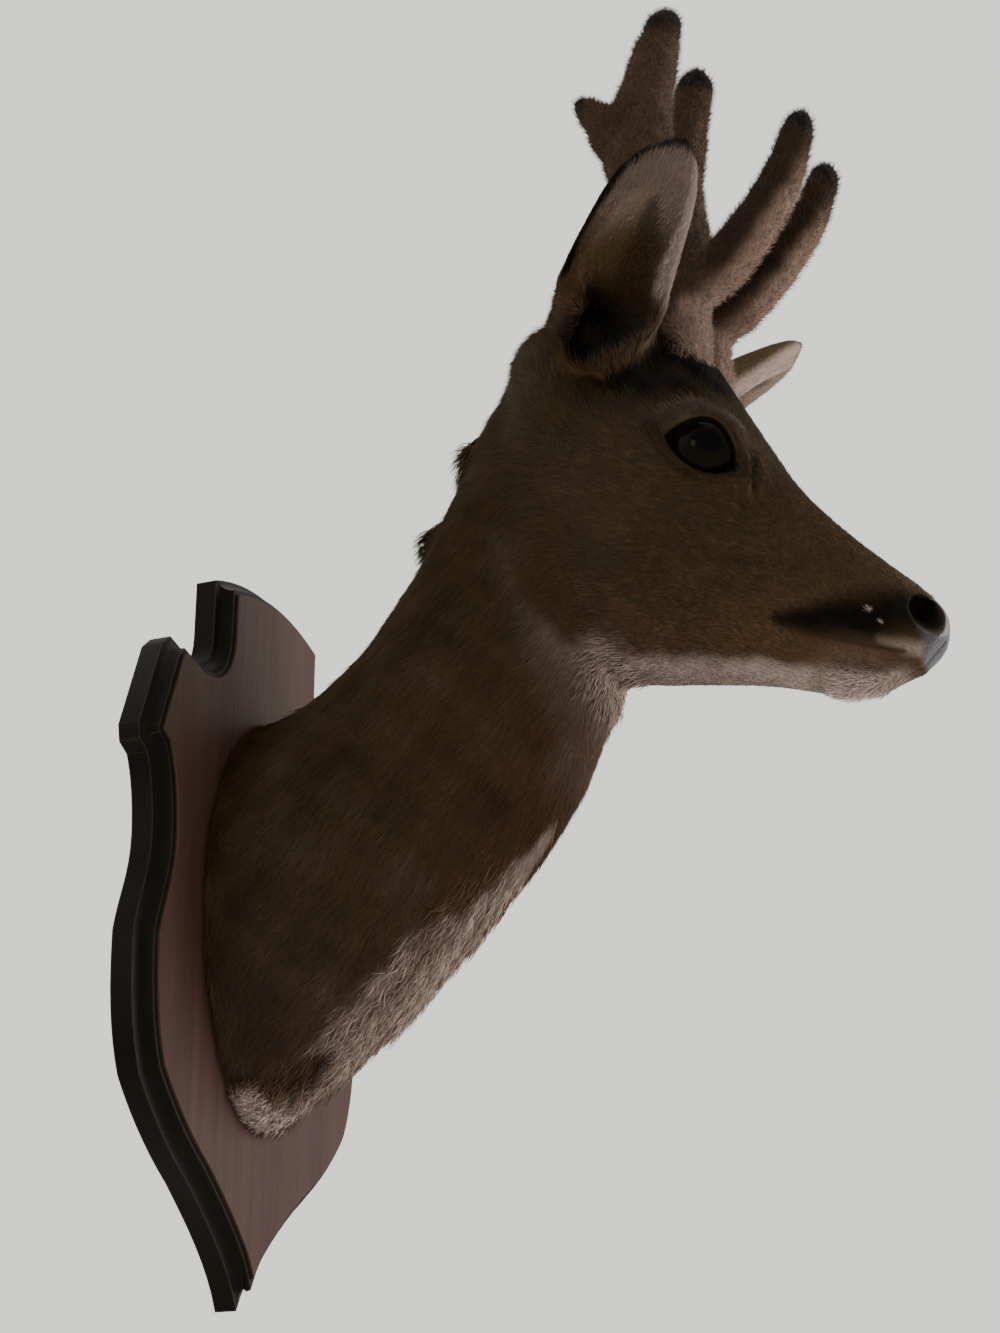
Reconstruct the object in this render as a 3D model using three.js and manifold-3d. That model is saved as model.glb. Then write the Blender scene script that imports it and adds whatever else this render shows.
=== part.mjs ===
// Roe deer shoulder mount on its shaped wall board, life size, in millimetres.
// +Z is up, the wall is the plane Y = 0 and the deer looks along -Y.
// The origin is on the back of the board, at its mid-height.
// Its right side is -X, and the mount is symmetrical about X = 0.
import * as THREE from 'three';
import { mergeVertices } from 'three/addons/utils/BufferGeometryUtils.js';
import Module from 'manifold-3d';

const wasm = await Module();
wasm.setup();

const gap = 0.3;

const board = {
  thickness: 18,
  bandDepth: 10,
  coveInset: 5.5,
  coveSteps: 3,
  faceInset: 7.5,
  faceStep: 1.5,
  curveSteps: 4,
  // Right half of the outline as [X, Z]: each leg's end, and the points that bend it on the way.
  tip: [0, -161],
  outline: {
    ogee: { to: [46, -115], bend: [[8, -143], [30, -127]] },
    heel: { to: [88, -79], bend: [[66, -103], [80, -89]] },
    belly: { to: [98.5, -22], bend: [[96, -63], [98.5, -46]] },
    waist: { to: [88.5, 22], bend: [[95.5, -6], [88, 4]] },
    notch: { to: [96, 54], bend: [[89.5, 42]] },
    sideFoot: { to: [102.5, 57.5], bend: [] },
    sideTop: { to: [104, 64.5], bend: [] },
    facet: { to: [89.5, 105], bend: [] },
    shoulder: { to: [83, 111], bend: [] },
    ledge: { to: [66, 107], bend: [] },
    fillet: { to: [46, 127], bend: [[46, 107]] },
    crestCorner: { to: [46, 153], bend: [] },
    crest: { to: [0, 162], bend: [[23, 162]] },
  },
};

// Lines of the neck, as [half width, Y, Z], from the board up to the head.
const neck = {
  around: 28,
  along: 14,
  roundness: [[2, 2], [2, 2], [2.7, 2]],
  nape: [[0, -18.3, 95], [0, -46, 104], [0, -70, 123], [0, -90, 149], [0, -108, 180], [0, -124, 214], [0, -145, 249],
    [0, -180, 262]],
  flank: [[61, -18.3, 6], [62, -50, 20], [60, -74, 40], [57, -96, 64], [53, -118, 92], [50, -140, 122],
    [48, -162, 155], [40, -186, 190]],
  throat: [[0, -18.3, -88], [0, -50, -68], [0, -78, -47], [0, -103, -24], [0, -126, -2], [0, -147, 20], [0, -164, 46],
    [0, -181, 84]],
  // The cuts that part the neck from the head and from the shoulder: a point, and the way they face.
  headCut: { at: [0, -168, 170], facing: [0, -0.98, 0.2] },
  shoulderCut: { at: [0, -90, 54], facing: [0, -0.88, 0.47] },
};

// The head is laid out along its own axis: u runs back from the nose, v runs up from it.
const head = {
  nose: [0, -327, 95],
  pitch: 45,
  halfWidth: 80,
  around: 28,
  along: 21,
  roundness: [[2.2, 2.6], [2.2, 3.2], [2, 2.4], [2, 2.2]],
  // [half width, u, v], from the back of the skull to the nose
  crown: [[0, 214, 10], [0, 200, 34], [0, 174, 38], [0, 146, 30], [0, 118, 20], [0, 92, 12], [0, 66, 9], [0, 40, 8],
    [0, 14, 7.5], [0, 3, 4.5], [0, -3, -3]],
  cheek: [[20, 214, -14], [42, 200, -14], [46, 174, -14], [43.5, 146, -14], [39, 118, -14], [33, 92, -17],
    [26.5, 66, -20], [22, 40, -20], [19, 14, -18], [15, 3, -14], [9, -3, -10]],
  jaw: [[0, 214, -30], [0, 194, -60], [0, 166, -88], [0, 140, -102], [0, 116, -107], [0, 96, -98], [0, 70, -80],
    [0, 44, -62], [0, 17, -47], [0, 6, -36], [0, -3, -19]],
};

// at and half are [X, u, v]. The lids' slit is tilted up at its front corner, and its upper edge arches more.
const eye = {
  radius: 16.5,
  at: [27, 126, -3.5],
  facing: [1, -0.3, 0.12],
  around: 18,
  rows: 11,
  lid: 2.2,
  slit: { long: 35, upper: [5, 27], lower: [0, -16], tilt: 14, shift: [-1.5, -4], from: 6, steps: 8 },
};
const brow = { at: [26, 129, -3], half: [19.5, 25, 17], around: 12, rows: 8 };
const nostril = { at: [14, 4, 0.5], half: [5.5, 7.5, 7], around: 12, rows: 8 };
const mouth = { line: [[-20, -19], [3, -20], [12, -26], [30, -34.5], [49, -41]], foot: [[62, -100], [-20, -100]] };
const nosePad = { front: [[-20, -16.5], [-20, 24]], back: [[15, 24], [17, 6], [16, -6], [8, -13], [1, -16.5]] };

// rear and front are the ear's reach to each side of its midline, and depth is half its thickness.
const ear = {
  base: [40, -189, 226],
  tip: [92, -251, 296],
  facing: [0.377, -0.458, -0.804],
  wall: 3,
  shoulder: 0.72,
  rear: [25, 30, 31, 29, 26, 22],
  front: [19, 22, 20, 18, 16, 14],
  depth: [21, 21, 17, 13, 9, 6],
  cup: { from: 0.2, lift: 5, flare: 6, floor: 0.3 },
  around: 16,
  along: 10,
};

const antler = {
  around: 10,
  beam: [[17, -221, 225], [17, -222, 266], [20, -217, 296], [23, -211, 328], [25, -209, 354], [25, -216, 386],
    [24, -225, 418]],
  beamRadius: [16, 14.5, 14.5, 16, 15.5, 12.5, 8.5],
  beamSteps: 18,
  frontTine: [[17, -222, 266], [17, -243, 278], [18, -259, 295], [20, -273, 314], [23, -286, 347]],
  frontRadius: [12, 12.5, 12, 10.5, 7.5],
  frontSteps: 12,
  rearTine: [[25, -210, 344], [27, -196, 357], [28, -179, 378]],
  rearRadius: [15, 11, 5],
  rearSteps: 6,
  fork: 284,
};

const colours = {
  wood: 0x2a1712,
  trunk: 0x4a372c,
  neck: 0x4f3b2e,
  head: 0x54402f,
  jaw: 0x8a7662,
  ear: 0x5a4636,
  nosePad: 0x1c1a20,
  glass: 0x0d0807,
  velvet: 0x6b5240,
};

// ---- solids and cuts ----

/** Turns a closed geometry into a solid that can be joined and cut. */
function solid(geometry) {
  geometry.deleteAttribute('normal');
  geometry.deleteAttribute('uv');
  const merged = mergeVertices(geometry, 1e-4);
  const mesh = new wasm.Mesh({
    numProp: 3,
    vertProperties: new Float32Array(merged.getAttribute('position').array),
    triVerts: new Uint32Array(merged.index.array),
  });
  return new wasm.Manifold(mesh);
}

function named(name, shape, color, roughness) {
  const { vertProperties, triVerts } = shape.getMesh();
  const geometry = new THREE.BufferGeometry();
  geometry.setAttribute('position', new THREE.BufferAttribute(new Float32Array(vertProperties), 3));
  geometry.setIndex(new THREE.BufferAttribute(new Uint32Array(triVerts), 1));
  geometry.computeVertexNormals();
  const mesh = new THREE.Mesh(geometry, new THREE.MeshStandardMaterial({ color, roughness, metalness: 0 }));
  mesh.name = name;
  return mesh;
}

const mirrored = (shape) => shape.mirror([1, 0, 0]);
const bothSides = (shape) => shape.add(mirrored(shape));
const vector = (point) => new THREE.Vector3(...point);
const line = (points) => new THREE.CatmullRomCurve3(points.map(vector));

/** A closed tube: the rings of a cylinder, moved to where place(t, angle, reach) says. */
function loft(around, along, place) {
  const tube = new THREE.CylinderGeometry(1, 1, 1, around, along);
  const at = tube.getAttribute('position');
  for (let i = 0; i < at.count; i += 1) {
    const reach = Math.min(1, Math.hypot(at.getX(i), at.getZ(i)));
    const angle = Math.atan2(at.getX(i), at.getZ(i));
    const point = place(at.getY(i) + 0.5, angle, reach);
    at.setXYZ(i, point.x, point.y, point.z);
  }
  return solid(tube);
}

/** 1 until t passes from, and then a quarter circle that falls to a blunt end at t = 1. */
function rounding(t, from) {
  const bluntest = 0.14;
  const over = from < 1 ? Math.max(0, (t - from) / (1 - from)) : 0;
  return Math.max(bluntest, Math.sqrt(1 - over ** 2));
}

/**
 * Rings through three lines: the ridge above, the flank at the side and the keel below.
 * roundness gives the rings' exponents above and below: 2 is an ellipse, and more is squarer.
 */
function fleshLoft(around, along, roundness, ridge, flank, keel) {
  const lines = [ridge, flank, keel].map(line);
  const shape = line(roundness.map(([above, below]) => [above, below, 0]));
  return loft(around, along, (t, angle, reach) => {
    const [top, side, bottom] = lines.map((curve) => curve.getPoint(t));
    const middle = new THREE.Vector3(0, side.y, side.z);
    const isUpper = Math.cos(angle) > 0;
    const power = 2 / (isUpper ? shape.getPoint(t).x : shape.getPoint(t).y);
    const point = middle.clone();
    point.addScaledVector((isUpper ? top : bottom).sub(middle), Math.abs(Math.cos(angle)) ** power * reach);
    point.x -= side.x * Math.sign(Math.sin(angle)) * Math.abs(Math.sin(angle)) ** power * reach;
    return point;
  });
}

/** A round limb of changing radius with a blunt tip. Its rings crowd towards the tip. */
function limb(points, radii, steps, extra) {
  const path = line(points);
  const girth = line(radii.map((radius) => [radius, 0, 0]));
  const tipStart = 1 - radii[radii.length - 1] / path.getLength();
  return loft(antler.around, steps, (ring, angle, reach) => {
    const t = Math.sin((ring * Math.PI) / 2);
    const point = path.getPoint(t);
    const ahead = path.getTangent(t);
    const side = new THREE.Vector3(1, 0, 0).addScaledVector(ahead, -ahead.x).normalize();
    const front = new THREE.Vector3().crossVectors(side, ahead);
    const radius = (girth.getPoint(t).x * rounding(t, tipStart) + extra) * reach;
    return point.addScaledVector(side, radius * Math.sin(angle)).addScaledVector(front, radius * Math.cos(angle));
  });
}

/** A big block that fills the side of a plane towards which its direction points. */
function block(point, direction) {
  const size = 900;
  const box = new THREE.BoxGeometry(size, size, size);
  box.translate(0, 0, size / 2);
  box.applyQuaternion(new THREE.Quaternion().setFromUnitVectors(new THREE.Vector3(0, 0, 1), direction));
  box.translate(point.x, point.y, point.z);
  return solid(box);
}

/** Parts a solid at a plane, leaving the gap, and gives what lies ahead of it and what lies behind. */
function part(shape, at, facing) {
  const ahead = vector(facing).normalize();
  const behind = ahead.clone().negate();
  return [
    shape.subtract(block(vector(at).addScaledVector(ahead, gap / 2), behind)),
    shape.subtract(block(vector(at).addScaledVector(behind, gap / 2), ahead)),
  ];
}

// ---- the head's own frame ----

const pitch = THREE.MathUtils.degToRad(head.pitch);
const across = new THREE.Vector3(1, 0, 0);
const backward = new THREE.Vector3(0, Math.cos(pitch), Math.sin(pitch));
const upward = new THREE.Vector3(0, -Math.sin(pitch), Math.cos(pitch));
const headFrame = new THREE.Matrix4().makeBasis(across, backward, upward).setPosition(...head.nose);
const sideFrame = new THREE.Matrix4().makeBasis(backward, upward, across).setPosition(...head.nose);

const headLine = (points) => points.map((point) => vector(point).applyMatrix4(headFrame).toArray());

/** A slab across the head whose outline is drawn in u and v. */
function headSlab(outline) {
  const shape = new THREE.Shape(outline.map(([u, v]) => new THREE.Vector2(u, v)));
  const slab = new THREE.ExtrudeGeometry(shape, { depth: 2 * head.halfWidth, bevelEnabled: false });
  slab.translate(0, 0, -head.halfWidth);
  slab.applyMatrix4(sideFrame);
  return solid(slab);
}

function headBall({ at, half, around, rows }) {
  const ball = new THREE.SphereGeometry(1, around, rows);
  ball.scale(...half);
  ball.translate(...at);
  ball.applyMatrix4(headFrame);
  return solid(ball);
}

// ---- wall board ----

function boardOutline() {
  const half = new THREE.Path();
  half.moveTo(...board.tip);
  for (const { to, bend } of Object.values(board.outline)) {
    const curve = ['lineTo', 'quadraticCurveTo', 'bezierCurveTo'][bend.length];
    half[curve](...bend.flat(), ...to);
  }
  return half.getPoints(board.curveSteps);
}

/** Each corner's inward step, long enough that all edges move in by the same amount. */
function inwardSteps(points) {
  return points.map((point, i) => {
    const before = points[(i + points.length - 1) % points.length];
    const after = points[(i + 1) % points.length];
    const normals = [[before, point], [point, after]].map(([from, to]) => {
      const run = to.clone().sub(from).normalize();
      return new THREE.Vector2(-run.y, run.x);
    });
    const sum = normals[0].clone().add(normals[1]);
    return sum.multiplyScalar(2 / sum.lengthSq());
  });
}

/** The edge's section as [inset, depth]: an upright band, a cove and the raised face. */
function boardProfile() {
  const cove = board.thickness - board.faceStep - board.bandDepth;
  const profile = [[0, 0], [0, board.bandDepth]];
  for (let i = 1; i <= board.coveSteps; i += 1) {
    const turn = (i / board.coveSteps) * (Math.PI / 2);
    profile.push([board.coveInset * Math.sin(turn), board.bandDepth + cove * (1 - Math.cos(turn))]);
  }
  profile.push([board.faceInset, board.thickness - board.faceStep], [board.faceInset, board.thickness]);
  return profile;
}

function wallBoard() {
  const half = boardOutline();
  const points = [...half, ...half.slice(1, -1).reverse().map((point) => new THREE.Vector2(-point.x, point.y))];
  const steps = inwardSteps(points);
  const profile = boardProfile();
  const last = profile.length - 1;
  const slab = new THREE.ExtrudeGeometry(new THREE.Shape(points), { steps: last, depth: last, bevelEnabled: false });
  const at = slab.getAttribute('position');
  const key = (x, y) => `${x.toFixed(3)} ${y.toFixed(3)}`;
  const index = new Map(points.map((point, i) => [key(point.x, point.y), i]));
  for (let i = 0; i < at.count; i += 1) {
    const corner = index.get(key(at.getX(i), at.getY(i)));
    const [inset, depth] = profile[Math.round(at.getZ(i))];
    const point = points[corner].clone().addScaledVector(steps[corner], inset);
    at.setXYZ(i, point.x, -depth, point.y);
  }
  return solid(slab);
}

// ---- antlers ----

const beamSolid = (extra) => limb(antler.beam, antler.beamRadius, antler.beamSteps, extra);

/** The hole for an antler, which runs a gap deeper than the beam. */
function antlerHole() {
  const [[x, y, z], ...rest] = antler.beam;
  return limb([[x, y, z - gap], ...rest], antler.beamRadius, antler.beamSteps, gap);
}

function antlerPieces() {
  const taken = beamSolid(gap);
  const [upper, lower] = part(beamSolid(0), [0, 0, antler.fork], [0, 0, 1]);
  return {
    lower_beam: lower,
    front_tine: limb(antler.frontTine, antler.frontRadius, antler.frontSteps, 0).subtract(taken),
    upper_beam: upper,
    rear_tine: limb(antler.rearTine, antler.rearRadius, antler.rearSteps, 0).subtract(taken),
  };
}

// ---- ears ----

const earBase = vector(ear.base);
const earTip = vector(ear.tip);
const earAhead = earTip.clone().sub(earBase).normalize();
const earOpen = vector(ear.facing);
earOpen.addScaledVector(earAhead, -earOpen.dot(earAhead)).normalize();
const earSide = new THREE.Vector3().crossVectors(earAhead, earOpen);

/** The ear's rings from the share `from` of its length to the tip, thicker by extra and moved by lift. */
function earLoft(from, extra, lift, foot) {
  const sizes = line(ear.rear.map((value, i) => [value, ear.front[i], ear.depth[i]]));
  return loft(ear.around, ear.along, (t, angle, reach) => {
    const s = from + (1 - from) * t;
    const closing = rounding(s, ear.shoulder) * rounding(1 - t, 1 - foot);
    const size = sizes.getPoint(s).addScalar(extra).multiplyScalar(closing);
    const wide = (Math.sin(angle) > 0 ? size.x : size.y) * Math.sin(angle) * reach;
    const point = earBase.clone().lerp(earTip, s);
    return point.addScaledVector(earOpen, size.z * Math.cos(angle) * reach + lift(s)).addScaledVector(earSide, wide);
  });
}

const still = () => 0;
const earShell = (extra) => earLoft(0, extra, still, 0);

function earSolid() {
  const { from, lift, flare, floor } = ear.cup;
  return earShell(0).subtract(earLoft(from, -ear.wall, (s) => ear.wall + lift + flare * s, floor));
}

// ---- flesh ----

function eyeBall(extra) {
  const half = Array(3).fill(eye.radius + extra);
  return headBall({ ...eye, half });
}

/** The slit between the lids: an almond that is cut through to the eyeball. */
function lidSlit() {
  const { long, upper, lower, tilt, shift, from, steps } = eye.slit;
  const shape = new THREE.Shape();
  shape.moveTo(-long / 2, 0);
  shape.quadraticCurveTo(...lower, long / 2, 0);
  shape.quadraticCurveTo(...upper, -long / 2, 0);
  const slot = new THREE.ExtrudeGeometry(shape, { depth: 2 * eye.radius, bevelEnabled: false, curveSegments: steps });
  slot.rotateZ(-THREE.MathUtils.degToRad(tilt));
  slot.translate(...shift, from);
  const out = vector(eye.facing).normalize();
  const back = new THREE.Vector3(0, 1, 0).addScaledVector(out, -out.y).normalize();
  const above = new THREE.Vector3().crossVectors(out, back);
  slot.applyMatrix4(new THREE.Matrix4().makeBasis(back, above, out).setPosition(...eye.at));
  slot.applyMatrix4(headFrame);
  return solid(slot);
}

function flesh() {
  const neckFlesh = fleshLoft(neck.around, neck.along, neck.roundness, neck.nape, neck.flank, neck.throat);
  const headLines = [head.crown, head.cheek, head.jaw].map(headLine);
  const headFlesh = fleshLoft(head.around, head.along, head.roundness, ...headLines);
  const lids = eyeBall(eye.lid);
  const body = neckFlesh.add(headFlesh).add(bothSides(lids.add(headBall(brow))));
  const holes = eyeBall(gap).add(lidSlit()).add(headBall(nostril)).add(antlerHole()).add(earShell(gap));
  return body.subtract(bothSides(holes));
}

/** Parts the lower jaw and the nose pad from the head, along the closed mouth and behind the pad. */
function headPieces(whole) {
  const back = mouth.line[mouth.line.length - 1];
  const jawOutline = (grow) => {
    const lips = mouth.line.map(([u, v]) => [u, v + grow]);
    const [heel, toe] = mouth.foot;
    return [...lips, [back[0] + grow, back[1] + grow], [heel[0] + grow, heel[1]], toe];
  };
  const padOutline = (grow) => [...nosePad.front, ...nosePad.back.map(([u, v]) => [u + grow, v])];
  const upper = whole.subtract(headSlab(jawOutline(gap)));
  return {
    lowerJaw: whole.intersect(headSlab(jawOutline(0))),
    nose: upper.intersect(headSlab(padOutline(0))),
    head: upper.subtract(headSlab(padOutline(gap))),
  };
}

// ---- the mount ----

const group = new THREE.Group();
group.add(named('board', wallBoard(), colours.wood, 0.35));

const [front, trunk] = part(flesh(), neck.headCut.at, neck.headCut.facing);
const [upperNeck, shoulder] = part(trunk, neck.shoulderCut.at, neck.shoulderCut.facing);
const pieces = headPieces(front);
group.add(named('shoulder', shoulder, colours.trunk, 0.95));
group.add(named('neck', upperNeck, colours.neck, 0.95));
group.add(named('head', pieces.head, colours.head, 0.95));
group.add(named('lower_jaw', pieces.lowerJaw, colours.jaw, 0.95));
group.add(named('nose', pieces.nose, colours.nosePad, 0.4));

const sides = { right: mirrored, left: (shape) => shape };
for (const [side, place] of Object.entries(sides)) {
  group.add(named(`ear_${side}`, place(earSolid()), colours.ear, 0.95));
  group.add(named(`eye_${side}`, place(eyeBall(0)), colours.glass, 0.08));
  for (const [piece, shape] of Object.entries(antlerPieces())) {
    group.add(named(`antler_${side}_${piece}`, place(shape), colours.velvet, 0.9));
  }
}

export default group;
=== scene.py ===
import math

import bmesh
import bpy
import numpy as np
from mathutils import Matrix, Vector
from mathutils.bvhtree import BVHTree
from mathutils.geometry import interpolate_bezier
from numpy.linalg import norm


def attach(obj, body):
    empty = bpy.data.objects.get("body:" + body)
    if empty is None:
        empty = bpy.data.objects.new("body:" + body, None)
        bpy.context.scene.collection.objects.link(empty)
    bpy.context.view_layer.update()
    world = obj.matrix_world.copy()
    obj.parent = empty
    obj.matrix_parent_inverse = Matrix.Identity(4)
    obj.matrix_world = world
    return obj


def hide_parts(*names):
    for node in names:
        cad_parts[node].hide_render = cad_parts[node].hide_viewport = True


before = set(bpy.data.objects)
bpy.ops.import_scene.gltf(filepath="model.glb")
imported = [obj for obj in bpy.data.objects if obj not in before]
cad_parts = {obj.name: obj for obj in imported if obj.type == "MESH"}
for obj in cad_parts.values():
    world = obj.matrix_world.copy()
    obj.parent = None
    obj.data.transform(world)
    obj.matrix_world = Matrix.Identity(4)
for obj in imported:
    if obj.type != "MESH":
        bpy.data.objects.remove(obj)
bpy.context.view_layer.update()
random = np.random.default_rng(7)


def smoothStep(low, high, value):
    t = np.clip((value - low) / (high - low), 0, 1)
    return t * t * (3 - 2 * t)


def unit(vectors):
    return vectors / np.maximum(norm(vectors, axis=-1, keepdims=True), 1e-9)


def largest(*shares):
    return np.maximum.reduce(shares)


def bell(value, width, centre=0):
    return np.exp(-((value - centre) / width) ** 2)


def blend(first, second, share):
    return first * (1 - share) + second * share


def newObject(name, mesh):
    obj = bpy.data.objects.new(name, mesh)
    bpy.context.scene.collection.objects.link(obj)
    return obj


def fromBmesh(name, bm):
    mesh = bpy.data.meshes.new(name)
    bm.to_mesh(mesh)
    bm.free()
    return newObject(name, mesh)


def finishPiece(obj, material, slot, *nodes):
    obj.data.materials.clear()
    obj.data.materials.append(material)
    if nodes:
        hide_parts(*nodes)
    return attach(obj, "root")


def applyModifier(obj, kind, **settings):
    modifier = obj.modifiers.new(kind.lower(), kind)
    for key, value in settings.items():
        setattr(modifier, key, value)
    obj.data = bpy.data.meshes.new_from_object(obj.evaluated_get(bpy.context.evaluated_depsgraph_get()))
    obj.modifiers.clear()


def remesh(obj, voxel):
    applyModifier(obj, "REMESH", mode="VOXEL", voxel_size=voxel)


def readVectors(items, key):
    values = np.empty(len(items) * 3, np.float32)
    items.foreach_get(key, values)
    return values.reshape(-1, 3).astype(float)


def pointsOf(mesh):
    return readVectors(mesh.vertices, "co")


def normalsOf(mesh):
    return readVectors(mesh.vertex_normals, "vector")


def movePoints(mesh, points):
    mesh.vertices.foreach_set("co", points.astype(np.float32).ravel())
    mesh.update()


def addAttribute(mesh, name, values):
    # a number, a vector or a colour for each point
    kinds = {1: ("FLOAT", "value"), 3: ("FLOAT_VECTOR", "vector"), 4: ("FLOAT_COLOR", "color")}
    kind, key = kinds[values.size // len(values)]
    mesh.attributes.new(name, kind, "POINT").data.foreach_set(key, values.astype(np.float32).ravel())


def treeOf(mesh, points):
    # a search tree over the mesh's faces, with its points at these places
    return BVHTree.FromPolygons([Vector(point) for point in points], [tuple(face.vertices) for face in mesh.polygons])


def shadeSmooth(mesh, angle=None):
    mesh.polygons.foreach_set("use_smooth", np.ones(len(mesh.polygons), bool))
    if angle is not None:
        mesh.set_sharp_from_angle(angle=math.radians(angle))
    mesh.update()


def mergedCopy(names, grow):
    # copies of CAD nodes in one mesh, each a little fatter, so that the thin cuts between them close
    bm = bmesh.new()
    for name in names:
        bm.from_mesh(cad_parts[name].data)
    bmesh.ops.remove_doubles(bm, verts=bm.verts, dist=1e-6)
    bm.normal_update()
    for vert in bm.verts:
        vert.co += vert.normal * grow
    return bm


headFrame = {"nose": np.array((0, -0.327, 0.095)), "pitch": math.radians(45)}
backward = np.array((0, math.cos(headFrame["pitch"]), math.sin(headFrame["pitch"])))
upward = np.array((0, -math.sin(headFrame["pitch"]), math.cos(headFrame["pitch"])))
earFrame = {"base": np.array((0.04, -0.189, 0.226)), "tip": np.array((0.092, -0.251, 0.296)),
            "facing": np.array((0.377, -0.458, -0.804))}
earLength = norm(earFrame["tip"] - earFrame["base"])
earAhead = (earFrame["tip"] - earFrame["base"]) / earLength
earOpen = unit(earFrame["facing"] - earAhead * (earFrame["facing"] @ earAhead))
earSide = np.cross(earAhead, earOpen)


def toHead(points):
    # half width, distance back from the nose and height above it
    rel = points - headFrame["nose"]
    return np.stack((np.abs(rel[:, 0]), rel @ backward, rel @ upward), 1)


def headPoint(x, u, v):
    return headFrame["nose"] + np.array((x, 0, 0)) + u * backward + v * upward


def sidesOf(points):
    # factors that mirror the right half onto the left and back: -1, 1, 1 or 1, 1, 1
    return np.sign(points[:, :1]) * (1, 0, 0) + (0, 1, 1)


def toBody(points):
    return points * sidesOf(points)


def toEar(points):
    # share of the ear's length, sideways to the rear and depth towards its opening
    rel = toBody(points) - earFrame["base"]
    return np.stack((rel @ earAhead / earLength, rel @ earSide, rel @ earOpen), 1)


def awayFrom(space, centre, reach):
    # distance in shares of the reach
    return norm((space - np.array(centre)) / np.array(reach), axis=1)


def blob(space, centre, reach, soft=0.4):
    return 1 - smoothStep(1 - soft, 1 + soft, awayFrom(space, centre, reach))


def lineDistance(space, path):
    # distance to a broken line, and how far along it the nearest place is, from 0 to 1
    path = np.array(path, float)
    best, along = np.full(len(space), np.inf), np.zeros(len(space))
    for i, (start, end) in enumerate(zip(path, path[1:])):
        run = end - start
        t = np.clip((space - start) @ run / (run @ run), 0, 1)
        away = norm(space - start - t[:, None] * run, axis=1)
        closer = away < best
        best[closer], along[closer] = away[closer], (i + t[closer]) / (len(path) - 1)
    return best, along


def band(space, path, radii, soft=0.5):
    away, along = lineDistance(space, path)
    radius = np.interp(along, np.linspace(0, 1, len(radii)), radii)
    return 1 - smoothStep(1 - soft, 1 + soft, away / radius)


def ripple(points, scale, seed=0):
    # smooth pseudo-noise from -1 to 1, made of crossed waves
    p = points * scale
    total = np.zeros(len(points))
    for i, (a, b, c) in enumerate(((1.0, 0.7, -0.4), (-0.6, 1.1, 0.8), (0.5, -0.9, 1.2), (1.3, 0.3, 0.9))):
        total += np.sin(p[:, 0] * a + p[:, 1] * b + p[:, 2] * c + seed * 1.7 + i * 2.3)
    return total / 4


def waves(points, scale, seed):
    return np.stack([ripple(points, scale, seed + i) for i in range(3)], 1)


body = {
    "headCut": ((0, -0.168, 0.17), (0, -0.98, 0.2)),
    "throat": [(0, -0.183, 0.095), (0, -0.164, 0.046), (0, -0.126, -0.002), (0, -0.078, -0.047), (0, -0.018, -0.088)],
    "nape": [(0, -0.18, 0.262), (0, -0.145, 0.249), (0, -0.108, 0.18), (0, -0.07, 0.123), (0, -0.018, 0.095)],
    "throatCorner": (0, -0.183, 0.096),
    "mouth": [(0.003, -0.02), (0.012, -0.026), (0.03, -0.0345), (0.049, -0.041)],
    "keel": [(0, -0.03), (0.017, -0.047), (0.044, -0.062), (0.07, -0.08), (0.096, -0.098), (0.116, -0.107),
             (0.14, -0.102), (0.166, -0.088)],
    "eye": (0.04, 0.119, -0.003),
    "tear": [(0.0268, 0.1055, 0.0065), (0.031, 0.0935, -0.005)],
    "cheekFold": [(0.107, -0.034), (0.098, -0.0365), (0.09, -0.039), (0.079, -0.0325), (0.066, -0.024)],
    "roll": [(-0.023, -0.024, -0.077), (-0.01, -0.025, -0.083), (0.004, -0.031, -0.08)],
    "rollHollow": [(-0.013, -0.0565, -0.0605), (-0.0075, -0.05, -0.0665), (-0.001, -0.0425, -0.0725)],
    "rollShade": [(-0.018, -0.036, -0.074), (-0.015, -0.047, -0.067), (-0.012, -0.058, -0.06)],
    "earBase": ((0.04, -0.171, 0.222), (0.018, 0.021, 0.03)),
    "scoops": [((0.034, 0.002, 0.016), (0.014, 0.015, 0.017)), ((0.024, 0.008, 0.017), (0.011, 0.012, 0.015)),
               ((0.014, 0.0135, 0.018), (0.0095, 0.0075, 0.012))],
    "pad": ((0, 0.002, 0), (0.0175, 0.0115, 0.016)),
    "earEdge": [(0.032, 0.03), (0.053, 0.0298), (0.067, 0.0285), (0.087, 0.0244), (0.099, 0.0165), (0.1055, 0.003),
                (0.1, -0.01)],
    "earEdgeWidth": (0.0004, 0.0009, 0.0014, 0.0024, 0.0038, 0.0042, 0.002),
}


def headness(points):
    # 1 on the head and 0 on the neck
    at, facing = (np.array(value) for value in body["headCut"])
    return smoothStep(-0.028, 0.022, (points - at) @ facing)


def earness(points):
    # 1 on the ears and 0 elsewhere
    ear = toEar(points)
    near = smoothStep(0.16, 0.34, ear[:, 0]) * smoothStep(0.036, 0.046, np.abs(points[:, 0]))
    return near * smoothStep(0.045, 0.035, np.abs(ear[:, 1]))


def levelAt(path, back):
    # height of a profile's path at these distances back from the nose
    return np.interp(back, *np.array(path).T)


def earSpace(points):
    # the ear's coordinates with the share of its length turned into a distance
    return toEar(points) * (earLength, 1, 1)


def scoopShare(points):
    # nearness to the hollow that leads into the ear: 1 on its wall, less inside it
    space = earSpace(points)
    return np.min([awayFrom(space, *shape) for shape in body["scoops"]], axis=0)


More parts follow.
